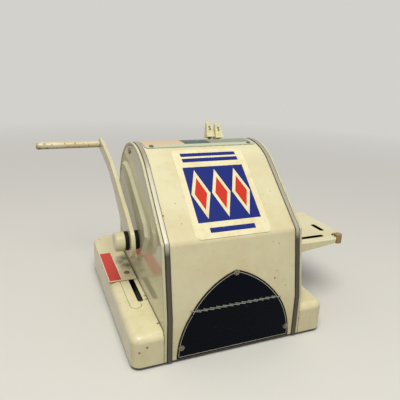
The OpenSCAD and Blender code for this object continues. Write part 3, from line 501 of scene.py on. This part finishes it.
def printed_label(name):
    """Satin paper with stains under the inks: navy bands, and three cream lozenges with red hearts."""
    material, tree, place = blank(name)
    flat = add(tree, "ShaderNodeMapping", {"Vector": place,
                                           "Rotation": (math.radians(SLOPE), 0, 0)}).outputs[0]
    axes = add(tree, "ShaderNodeSeparateXYZ", {0: flat})
    u = add(tree, "ShaderNodeMath", {0: axes.outputs[0], 1: 1 / MM}, operation="MULTIPLY").outputs[0]
    v = add(tree, "ShaderNodeMath", {0: axes.outputs[1], 1: 1 / MM}, operation="MULTIPLY").outputs[0]
    wide = add(tree, "ShaderNodeMath", {0: u}, operation="ABSOLUTE").outputs[0]
    stains = add(tree, "ShaderNodeTexNoise", {"Vector": place, "Scale": 1 / (14 * MM), "Detail": 5.0,
                                              "Roughness": 0.7}).outputs[0]
    stain = add(tree, "ShaderNodeMapRange", {"Value": stains, "From Min": 0.45, "From Max": 0.75,
                                             "To Max": 0.6}).outputs[0]
    paper = add(tree, "ShaderNodeMix", {0: stain, 6: linear("#EFE6C0"), 7: linear("#D9BF8A")},
                data_type="RGBA").outputs[2]
    colour = paper
    for middle, half_high, half_wide in BANDS:
        off = add(tree, "ShaderNodeMath", {0: v, 1: middle}, operation="SUBTRACT").outputs[0]
        off = add(tree, "ShaderNodeMath", {0: off}, operation="ABSOLUTE").outputs[0]
        tall = add(tree, "ShaderNodeMath", {0: off, 1: half_high}, operation="LESS_THAN").outputs[0]
        long = add(tree, "ShaderNodeMath", {0: wide, 1: half_wide}, operation="LESS_THAN").outputs[0]
        band = add(tree, "ShaderNodeMath", {0: tall, 1: long}, operation="MULTIPLY").outputs[0]
        colour = add(tree, "ShaderNodeMix", {0: band, 6: colour, 7: linear(NAVY)},
                     data_type="RGBA").outputs[2]
    aside = add(tree, "ShaderNodeMath", {0: u, 1: LOZENGE_STEP}, operation="PINGPONG").outputs[0]
    along = add(tree, "ShaderNodeMath", {0: v, 1: PANEL_MIDDLE}, operation="SUBTRACT").outputs[0]
    along = add(tree, "ShaderNodeMath", {0: along}, operation="ABSOLUTE").outputs[0]
    inside = add(tree, "ShaderNodeMath", {0: wide, 1: LOZENGES_HALF}, operation="LESS_THAN").outputs[0]
    for half_wide, half_high, ink in ((11.0, 31.0, paper), (7.2, 20.5, linear(RED))):
        share = add(tree, "ShaderNodeMath", {0: aside, 1: 1 / half_wide}, operation="MULTIPLY").outputs[0]
        reach = add(tree, "ShaderNodeMath", {0: along, 1: 1 / half_high, 2: share},
                    operation="MULTIPLY_ADD").outputs[0]
        lozenge = add(tree, "ShaderNodeMath", {0: reach, 1: 1.0}, operation="LESS_THAN").outputs[0]
        lozenge = add(tree, "ShaderNodeMath", {0: lozenge, 1: inside}, operation="MULTIPLY").outputs[0]
        colour = add(tree, "ShaderNodeMix", {0: lozenge, 6: colour, 7: ink}, data_type="RGBA").outputs[2]
    for spacing, size, share, tone in ((5, 0.5, 0.12, "#D9D0AE"), (8, 0.6, 0.3, "#8E6A42")):
        dots = specks(tree, place, spacing, size, share)
        colour = add(tree, "ShaderNodeMix", {0: dots, 6: colour, 7: linear(tone)},
                     data_type="RGBA").outputs[2]
    fibres = add(tree, "ShaderNodeTexNoise", {"Vector": place, "Scale": 1 / (0.9 * MM),
                                              "Detail": 3.0}).outputs[0]
    bump = add(tree, "ShaderNodeBump", {"Height": fibres, "Strength": 0.15, "Distance": 0.05 * MM}).outputs[0]
    shader = add(tree, "ShaderNodeBsdfPrincipled", {"Base Color": colour, "Roughness": 0.45, "Normal": bump,
                                                    "Specular IOR Level": 0.2})
    add(tree, "ShaderNodeOutputMaterial", {"Surface": shader.outputs[0]})
    return material


finish(printed_label("gummed paper label"), "slope_label")

# ---- Nameplate ----
# A thin pointed-arch plate of black enamelled metal on the rear wall, held by three screws. A fine pale
# line runs round it, a rule twisted like a rope crosses it, and a pale ring goes round each screw.
PLATE_HALF, PLATE_LOW, PLATE_TOP, PLATE_PROUD = 67.0, 4.5, 94.0, 0.2
LINE_INSET, LINE_WIDE = 1.7, 0.55
SCREWS, RING_R, RING_INNER = ((0, 91), (62, 17), (-63, 16.5)), 3.1, 0.86
RULE_Z, RULE_HALF, RULE_TILT = 57.0, 51.5, -12
STRAND, STRAND_WIDE, TWIST = 12.5, 0.85, 7.3
UPRIGHT = Matrix.Rotation(math.pi / 2, 4, "X")


def onto_wall(mesh, proud=0.0):
    """Stands a print that was drawn flat on XZ, in millimetres, onto the plate's bent face."""
    for vert in mesh.verts:
        x, y, z = vert.co
        face_y = REAR_WALL_Y + PLATE_PROUD - max(0.0, z - KINK_Z) * math.tan(LEAN)
        vert.co = Vector((x, face_y + y + proud, z)) * MM


def arch_line(mesh, inset, width):
    """Draws the plate's outline as a flat line, inset from its edge, by spinning a short stroke."""
    rise = PLATE_TOP - PLATE_LOW
    centre = (rise * rise - PLATE_HALF * PLATE_HALF) / (2 * PLATE_HALF)
    radius = PLATE_HALF + centre - inset
    low = math.asin(inset / radius)
    peak = math.acos(centre / radius)
    for side in (-1, 1):
        foot = Vector((side * (radius * math.cos(low) - centre), 0, PLATE_LOW + radius * math.sin(low)))
        towards = Vector((-side * math.cos(low), 0, -math.sin(low))) * width
        stroke = [mesh.verts.new(foot), mesh.verts.new(foot + towards)]
        edge = mesh.edges.new(stroke)
        bmesh.ops.spin(mesh, geom=stroke + [edge], cent=(-side * centre, 0, PLATE_LOW), axis=(0, -side, 0),
                       dvec=(0, 0, 0), angle=peak - low, steps=40, use_merge=False, use_duplicate=False)
    inner = radius * math.cos(low) - centre
    cells = bmesh.ops.create_grid(mesh, x_segments=2, y_segments=1, size=0.5)["verts"]
    bmesh.ops.transform(mesh, verts=cells, matrix=Matrix.Translation((0, 0, PLATE_LOW + inset + width / 2))
                        @ UPRIGHT @ Matrix.Diagonal((2 * inner, width, 1, 1)))


def black_enamel(name):
    """Black enamel on thin metal: deep and glossy, with a blue cast and hairline scuffs."""
    material, tree, place = blank(name)
    stretched = add(tree, "ShaderNodeMapping", {"Vector": place, "Scale": (60, 60, 700),
                                                "Rotation": (0, 0.7, 0)}).outputs[0]
    scuffs = add(tree, "ShaderNodeTexNoise", {"Vector": stretched, "Scale": 1.0, "Detail": 5.0,
                                              "Roughness": 0.7}).outputs[0]
    scuff = add(tree, "ShaderNodeMapRange", {"Value": scuffs, "From Min": 0.6, "From Max": 0.78,
                                             "To Max": 0.12}).outputs[0]
    colour = add(tree, "ShaderNodeMix", {0: scuff, 6: linear("#050A14"), 7: linear("#1C2129")},
                 data_type="RGBA").outputs[2]
    for share, tone in ((specks(tree, place, 6, 0.35, 0.3), "#7D776A"),
                        (rubbed_edges(tree, place, 0.5, 4, 0.35, 0.5), "#A98D68")):
        colour = add(tree, "ShaderNodeMix", {0: share, 6: colour, 7: linear(tone)},
                     data_type="RGBA").outputs[2]
    gloss = add(tree, "ShaderNodeMapRange", {"Value": scuffs, "From Min": 0.3, "From Max": 0.8, "To Min": 0.2,
                                             "To Max": 0.45}).outputs[0]
    shader = add(tree, "ShaderNodeBsdfPrincipled", {"Base Color": colour, "Roughness": gloss,
                                                    "Specular IOR Level": 0.06})
    add(tree, "ShaderNodeOutputMaterial", {"Surface": shader.outputs[0]})
    return material


finish(black_enamel("black enamelled plate"), "nameplate")
pale_print = printed("printed pale line", "#B9B6A6", "#2A2C30", wear=0.6)
lines = bmesh.new()
arch_line(lines, LINE_INSET, LINE_WIDE)
onto_wall(lines)
bmesh.ops.recalc_face_normals(lines, faces=lines.faces)
bmesh.ops.solidify(lines, geom=lines.faces, thickness=-0.06 * MM)
put(lines, "nameplate_line", "machine_body", pale_print)

rings = bmesh.new()
for x, z in SCREWS:
    rim = bmesh.ops.create_circle(rings, cap_ends=False, segments=40, radius=RING_R)["verts"]
    rim_edges = [e for e in rings.edges if e.verts[0] in rim]
    made = bmesh.ops.extrude_edge_only(rings, edges=rim_edges)["geom"]
    inner = [v for v in made if isinstance(v, bmesh.types.BMVert)]
    bmesh.ops.scale(rings, verts=inner, vec=(RING_INNER, RING_INNER, 1))
    bmesh.ops.transform(rings, verts=rim + inner, matrix=Matrix.Translation((x, 0, z)) @ UPRIGHT)
onto_wall(rings, 0.06)
bmesh.ops.recalc_face_normals(rings, faces=rings.faces)
bmesh.ops.solidify(rings, geom=rings.faces, thickness=-0.05 * MM)
put(rings, "nameplate_rings", "machine_body", pale_print)

rule = bmesh.new()
for k in range(int(2 * RULE_HALF / TWIST)):
    bar = bmesh.ops.create_grid(rule, x_segments=1, y_segments=1, size=0.5)["verts"]
    spot = Matrix.Translation((-RULE_HALF + TWIST * (k + 0.55), 0, RULE_Z))
    tilt = Matrix.Rotation(math.radians(RULE_TILT), 4, "Y")
    bmesh.ops.transform(rule, verts=bar, matrix=spot @ tilt @ UPRIGHT
                        @ Matrix.Diagonal((STRAND, STRAND_WIDE, 1, 1)))
onto_wall(rule)
bmesh.ops.recalc_face_normals(rule, faces=rule.faces)
for face in rule.faces:
    if face.normal.y < 0:
        face.normal_flip()
bmesh.ops.solidify(rule, geom=rule.faces, thickness=-0.05 * MM)
rule_print = printed("printed grey-green rule", "#98A092", "#20242A")
put(rule, "nameplate_rule", "machine_body", rule_print)

# ---- Screws ----
# Slotted screws in the top strip, the nameplate, the side plates and the table's flange, dulled and
# rusted in the slots.
eased("cover_screws", "skin_screws", 0.25, screw_steel, segments=2)

# ---- Check table and its stop ----
# A folded sheet table on the side away from the handle, enamelled like the covers, with two slots for
# guides. A moulded amber stop sits in the notch at its outer corner.
LINE_SLOT, SIDE_SLOT = (-154, -95, 73.2, 80.5, 90.9), (-167.6, -160.4, 37.9, 62.8, 90.9)
# The walls of the table's slots are blackened: painted shade.
blacken(eased("check_table", "side_table", 0.35, cream, segments=2), LINE_SLOT, SIDE_SLOT)
amber = moulded("moulded amber plastic", "#A4875A", "#8A6E46", 0.3, pores=1.2, weight=0.1)
eased("table_corner_stop", "corner_stop", 0.8, amber)

# A thin black sheet under the table, which shows through the slots and at the notch. It is painted shade: a
# dark sheet put where the underside of the table lies in shade. Its middle is set in from the table's outer
# and rear edges.
SHADE_SHEET_WIDE, SHADE_SHEET_DEEP, SHADE_SHEET_THICK, SHADE_SHEET_CORNER = 84, 46, 0.8, 7
SHADE_SHEET_IN, SHADE_SHEET_FORWARD, TABLE_UNDER = 47, 41, 88.8
table_low, table_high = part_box("check_table")
shade_sheet = bmesh.new()
sheet = bmesh.ops.create_cube(shade_sheet, size=1.0)["verts"]
bmesh.ops.scale(shade_sheet, verts=sheet, vec=(SHADE_SHEET_WIDE * MM, SHADE_SHEET_DEEP * MM, SHADE_SHEET_THICK * MM))
middle = (table_low[0] + SHADE_SHEET_IN * MM, table_high[1] - SHADE_SHEET_FORWARD * MM, (TABLE_UNDER - SHADE_SHEET_THICK / 2) * MM)
bmesh.ops.translate(shade_sheet, verts=sheet, vec=middle)
upright = [e for e in shade_sheet.edges if abs(e.verts[0].co.z - e.verts[1].co.z) > SHADE_SHEET_THICK / 2 * MM]
bmesh.ops.bevel(shade_sheet, geom=upright, offset=SHADE_SHEET_CORNER * MM, segments=8, profile=0.5, affect="EDGES",
                material=-1)
black_shade_sheet = moulded("black sheet of painted shade", "#060606", "#12110F", 0.9, 0.5, 0.6, 0.1)
put(shade_sheet, "table_shade_sheet", "machine_body", black_shade_sheet)

# ---- Inside ----
# Frames, bed, rods and guide posts of plain steel, the brass bushes and spacers, and the flat spiral
# spring that returns the handle.
brass = rolled_steel("turned brass", "#C6A15A", "#A8853F", 0.3, "#6B4E22", 0.4)
finish(plate_steel, "throat_bed", "right_frame", "left_frame", "frame_rods", "selector_shaft", "detent_comb",
       "guide_posts", "spool_brackets")
finish(brass, "handle_bearings", "selector_spacers")
finish(rolled_steel("blued spring steel", "#4B5563", "#2E343D", 0.32), "handle_spring")

# ---- Selectors ----
# Ten stamped steel levers with their type sectors, and a moulded tab pushed over the end of each. The
# tabs of the two symbol columns carry a small printed sign.
lever_steel = rolled_steel("stamped lever steel", "#7B7A76", "#565550", 0.36)
tab_plastic = moulded("moulded cream plastic", "#E0DAB0", "#CFC493", 0.3, pores=1.5, weight=0.08)
for i in range(1, COLUMNS + 1):
    finish(lever_steel, f"selector_lever_{i}")
    eased(f"selector_tab_{i}", f"tab_{i}", 0.45, tab_plastic)

# The sign is printed on the rear face of its tab, which tapers. The second tab is pushed further on.
TAB_HIGH, TAB_FOOT_DEEP, TAB_TOP_DEEP, TAB_FOOT_R = 19.4, 12.0, 3.2, KEY_R + 3
FACE_TAPER = math.atan((TAB_FOOT_DEEP - TAB_TOP_DEEP) / 2 / TAB_HIGH)
SIGN_HIGH, SIGN_THICK, SIGN_UP = 8.0, 0.1, 11.6
sign = glyph("$", SIGN_HIGH, SIGN_THICK)
onto_face = Matrix.Translation((0, TAB_FOOT_DEEP / 2 - SIGN_UP * math.tan(FACE_TAPER), 0)) \
    @ Matrix.Rotation(FACE_TAPER, 4, "X") @ Matrix.Rotation(math.pi, 4, "Z") @ UPRIGHT
for column, pushed in zip(SYMBOL_COLUMNS, (0.0, 1.5)):
    mark = bmesh.new()
    tab = on_panel(FIRST_X - PITCH * (column - 1), FIRST_ANGLE, TAB_FOOT_R + SIGN_UP - pushed)
    stamp(mark, sign, tab @ onto_face)
    put(mark, f"tab_sign_{column}", f"selector_{column}", black_print)

# ---- Handle ----
# A flat cast arm on a steel shaft, with rubber washers and a turned cap at the hub, and a grip rod
# riveted to its end. The grip is worn brown where the hand holds it.
arm_enamel = stoved_enamel("stoved cream enamel, arm", "#DDD5B0", "#CEC49C", chips=1.6)
eased("handle_arm", "pull_arm", 0.8, arm_enamel, segments=4)

# Each knock: how far it is from the grip's free end, how far behind and above its axis, and its radius.
KNOCKS = ((0, 0, 0, 6.5), (4, 2, -4, 4.5), (11, 4, 3, 2.2), (14, 3, -3, 3.0), (21, 4, 2, 1.8),
          (27, 4, -3, 1.5), (38, 4, 3, 1.6), (43, 4, -1, 1.2), (52, 4, 3, 1.9), (58, 4, -3, 1.6),
          (71, 4, -2, 1.4), (82, 4, 1, 1.2))
grip_low, grip_high = (corner / MM for corner in map(Vector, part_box("grip_rod")))
grip_axis = (grip_low + grip_high) / 2
knocks = [((grip_high.x - along, grip_axis.y + behind, grip_axis.z + above), radius, 1.0)
          for along, behind, above, radius in KNOCKS]
grip_enamel = stoved_enamel("stoved cream enamel, hand-worn", "#E2D8B6", "#CDB98E", chips=3.0, dirt=1.4,
                            marks=knocks)
eased("grip_rod", "grip_bar", 0.5, grip_enamel)
eased("hub_cap", "turned_cap", 1.2, arm_enamel, segments=5, sharp=60)
eased("hub_washers", "hub_rubber_washers", 0.4, rubber)
finish(plate_steel, "handle_shaft", "crank_disc")

# ---- Platen, ribbon and spools ----
# The carriage lifts a rubber-faced bar under the ribbon. The ribbon is inked woven nylon, wound on two
# small plastic spools.
THREAD = 0.8


def inked_ribbon(name):
    """Inked nylon: a fine plain weave, drawn coarser than its real 0.2 mm so that it shows, wet with ink."""
    material, tree, place = blank(name)
    weaves = [add(tree, "ShaderNodeTexWave", {"Vector": place, "Scale": 1 / (THREAD * MM) / 6.28},
                  bands_direction=along).outputs[1] for along in "XY"]
    weave = add(tree, "ShaderNodeMath", {0: weaves[0], 1: weaves[1]}, operation="MAXIMUM").outputs[0]
    colour = add(tree, "ShaderNodeMix", {0: weave, 6: linear("#120F1E"), 7: linear("#2C2446")},
                 data_type="RGBA").outputs[2]
    bump = add(tree, "ShaderNodeBump", {"Height": weave, "Strength": 0.5, "Distance": 0.05 * MM}).outputs[0]
    shader = add(tree, "ShaderNodeBsdfPrincipled", {"Base Color": colour, "Roughness": 0.55, "Normal": bump})
    add(tree, "ShaderNodeOutputMaterial", {"Surface": shader.outputs[0]})
    return material


finish(plate_steel, "platen_carriage")
finish(rubber, "platen_pad")
finish(moulded("moulded black plastic", "#19191A", "#2B2B2C", 0.35), "right_spool", "left_spool")
finish(inked_ribbon("inked nylon"), "ribbon")

# ---- Sliding plate ----
# An enamelled plate that slides along the handle-side wing, held by a screw in the wing's slot. It has
# a red paper label with a pale border. A flush oval plug closes a hole in the wing beside the slot.
WING_Z, WING_TAN = 38.5, 9.5 / 222
SLIDE_THICK = 1.5
LABEL_X, LABEL_Y, LABEL_WIDE, LABEL_LONG, LABEL_EDGE = 106.9, -151.2, 16.0, 76.6, 0.9
# Dark marks near the hub: grease, deepened into a painted shadow of the hub and arm on the plate.
GREASE_AND_HUB_SHADOW = (((84, -26, 46), 14, 0.85), ((85, -6, 45.2), 14, 0.85), ((93, -18, 45.6), 9, 0.6))
plate_enamel = stoved_enamel("stoved cream enamel, greasy and shaded", "#E2D9B2", "#D8CCA0", chips=1.5, dirt=1.3,
                             marks=GREASE_AND_HUB_SHADOW)
eased("slide_plate", "wing_plate", 0.3, plate_enamel, segments=2)
eased("slide_screw", "wing_screw", 0.2, screw_steel, segments=2)


def on_wing(x, y, above):
    """A place on the wing: X across, Y back along the fall of the top, Z out of it."""
    spot = Vector((x, y + REAR_WALL_Y, WING_Z - WING_TAN * (y + 8)))
    return Matrix.Scale(MM, 4) @ Matrix.Translation(spot) @ Matrix.Rotation(-math.atan(WING_TAN), 4, "X") \
        @ Matrix.Translation((0, 0, above))


def card(wide, long, corner, thick, place):
    """A thin rectangle with rounded corners, laid at a place."""
    mesh = bmesh.new()
    made = bmesh.ops.create_cube(mesh, size=1.0)["verts"]
    bmesh.ops.transform(mesh, verts=made, matrix=Matrix.Diagonal((wide, long, thick, 1)))
    upright = [e for e in mesh.edges if abs((e.verts[0].co - e.verts[1].co).z) > thick / 2]
    bmesh.ops.bevel(mesh, geom=upright, offset=corner, segments=6, profile=0.5, affect="EDGES", material=-1)
    bmesh.ops.transform(mesh, verts=mesh.verts, matrix=place @ Matrix.Translation((0, 0, thick / 2)))
    return mesh


border = card(LABEL_WIDE, LABEL_LONG, 1.0, 0.1, on_wing(LABEL_X, LABEL_Y, SLIDE_THICK))
field = card(LABEL_WIDE - 2 * LABEL_EDGE, LABEL_LONG - 2 * LABEL_EDGE, 0.5, 0.06,
             on_wing(LABEL_X, LABEL_Y, SLIDE_THICK + 0.1))
gummed_paper = printed("gummed paper", "#EFE3D0", "#D6BFA0", 0.5)
red_print = printed("printed red label", "#CB3422", "#D0604A", 0.4, 0.25)
put(border, "wing_label_border", "wing_slide", gummed_paper)
put(field, "wing_label", "wing_slide", red_print)

# The plug shows only as a dark hairline: a long side, a round end, and a short return to the slot.
PLUG_X, PLUG_Y, PLUG_R, PLUG_LONG, HAIRLINE = 95.8, -58.0, 6.5, 120, 0.45
seam = bmesh.new()
stroke = [seam.verts.new((PLUG_R, -PLUG_LONG, 0)), seam.verts.new((PLUG_R - HAIRLINE, -PLUG_LONG, 0))]
run = bmesh.ops.extrude_edge_only(seam, edges=[seam.edges.new(stroke)])["geom"]
ends = [v for v in run if isinstance(v, bmesh.types.BMVert)]
bmesh.ops.translate(seam, verts=ends, vec=(0, PLUG_LONG, 0))
turning = ends + [e for e in run if isinstance(e, bmesh.types.BMEdge) and set(e.verts) == set(ends)]
bmesh.ops.spin(seam, geom=turning, cent=(0, 0, 0), axis=(0, 0, 1), dvec=(0, 0, 0), angle=math.radians(200),
               steps=28, use_merge=False, use_duplicate=False)
bmesh.ops.recalc_face_normals(seam, faces=seam.faces)
bmesh.ops.solidify(seam, geom=seam.faces, thickness=0.05)
bmesh.ops.recalc_face_normals(seam, faces=seam.faces)
bmesh.ops.transform(seam, matrix=on_wing(PLUG_X, PLUG_Y, 0.03), verts=seam.verts)
seam_dirt = printed("dirt in the plug's seam", "#2E2820", "#5C543E", 0.6, 0.5)
put(seam, "wing_plug_seam", "machine_body", seam_dirt)

# ---- Floor, light and camera ----
# A plain pale floor that fades into the backdrop without a horizon, and one large soft light above the
# camera's side. The camera stands where the photograph's camera stood.
BACKDROP = "#D3D1CC"
FADE_FROM, FADE_TO = 0.35, 1.8


def seen_rays(tree):
    """One for the rays that see the backdrop, straight or in gloss or glass, and nought for the light."""
    rays = add(tree, "ShaderNodeLightPath").outputs
    seen = rays["Is Camera Ray"]
    for kind in ("Is Glossy Ray", "Is Transmission Ray"):
        seen = add(tree, "ShaderNodeMath", {0: seen, 1: rays[kind]}, operation="MAXIMUM").outputs[0]
    return seen


def backdrop(name):
    """Pale paper that keeps the object's shadow and fades to the backdrop's colour far away."""
    material, tree, place = blank(name)
    shade = add(tree, "ShaderNodeTexNoise", {"Vector": place, "Scale": 1.2, "Detail": 1.0}).outputs[0]
    paper = add(tree, "ShaderNodeMix", {0: shade, 6: linear("#DCDAD6"), 7: linear("#E2E0DC")},
                data_type="RGBA").outputs[2]
    seen = seen_rays(tree)
    colour = add(tree, "ShaderNodeMix", {0: seen, 6: linear("#7E7B76"), 7: paper},
                 data_type="RGBA").outputs[2]
    shader = add(tree, "ShaderNodeBsdfPrincipled", {"Base Color": colour, "Roughness": 0.7})
    away = add(tree, "ShaderNodeVectorMath", {0: place}, operation="LENGTH").outputs["Value"]
    fade = add(tree, "ShaderNodeMapRange", {"Value": away, "From Min": FADE_FROM,
                                            "From Max": FADE_TO}).outputs[0]
    fade = add(tree, "ShaderNodeMath", {0: fade, 1: seen}, operation="MULTIPLY").outputs[0]
    far = add(tree, "ShaderNodeEmission", {"Color": linear(BACKDROP)}).outputs[0]
    surface = add(tree, "ShaderNodeMixShader", {0: fade, 1: shader.outputs[0], 2: far}).outputs[0]
    add(tree, "ShaderNodeOutputMaterial", {"Surface": surface})
    return material


ground = bmesh.new()
bmesh.ops.create_grid(ground, x_segments=1, y_segments=1, size=14.0)
floor_data = bpy.data.meshes.new("studio_floor")
ground.to_mesh(floor_data)
ground.free()
floor = bpy.data.objects.new("studio_floor", floor_data)
bpy.context.scene.collection.objects.link(floor)
floor_data.materials.append(backdrop("pale studio paper"))

world = bpy.data.worlds.new("studio")
bpy.context.scene.world = world
world.use_nodes = True
sky = world.node_tree
sky.nodes.clear()
glow = add(sky, "ShaderNodeBackground", {"Color": linear("#F6F1F0"), "Strength": 0.46}).outputs[0]
wall = add(sky, "ShaderNodeBackground", {"Color": linear(BACKDROP), "Strength": 1.0}).outputs[0]
both = add(sky, "ShaderNodeMixShader", {0: seen_rays(sky), 1: glow, 2: wall}).outputs[0]
add(sky, "ShaderNodeOutputWorld", {"Surface": both})

LAMP_PLACE, LAMP_TARGET = Vector((0.32, 0.85, 1.75)), Vector((0, 0, 0.1))
light = bpy.data.lights.new("overhead", "AREA")
light.energy, light.shape, light.size, light.color = 27.0, "DISK", 1.2, linear("#FBFCF1")[:3]
lamp = bpy.data.objects.new("overhead", light)
bpy.context.scene.collection.objects.link(lamp)
lamp.location = LAMP_PLACE
lamp.rotation_euler = (LAMP_TARGET - LAMP_PLACE).to_track_quat("-Z", "Y").to_euler()

CAMERA_PLACE = Vector((0.1927, 0.49685, 0.2974))
CAMERA_AZIMUTH, CAMERA_ELEVATION, CAMERA_ROLL = (math.radians(a) for a in (157.68262, 17.50101, 1.9213))
away = Vector((math.sin(CAMERA_AZIMUTH) * math.cos(CAMERA_ELEVATION),
               -math.cos(CAMERA_AZIMUTH) * math.cos(CAMERA_ELEVATION), math.sin(CAMERA_ELEVATION)))
level = Vector((0, 0, 1)).cross(away).normalized()
risen = away.cross(level)
right = math.cos(CAMERA_ROLL) * level + math.sin(CAMERA_ROLL) * risen
up = -math.sin(CAMERA_ROLL) * level + math.cos(CAMERA_ROLL) * risen
lens = bpy.data.cameras.new("camera")
lens.sensor_width, lens.lens, lens.clip_start = 36.0, 38.74, 0.01
camera = bpy.data.objects.new("camera", lens)
bpy.context.scene.collection.objects.link(camera)
camera.matrix_world = Matrix.Translation(CAMERA_PLACE) @ Matrix((right, up, away)).transposed().to_4x4()
bpy.context.scene.camera = camera
bpy.context.scene.view_settings.view_transform = "Standard"
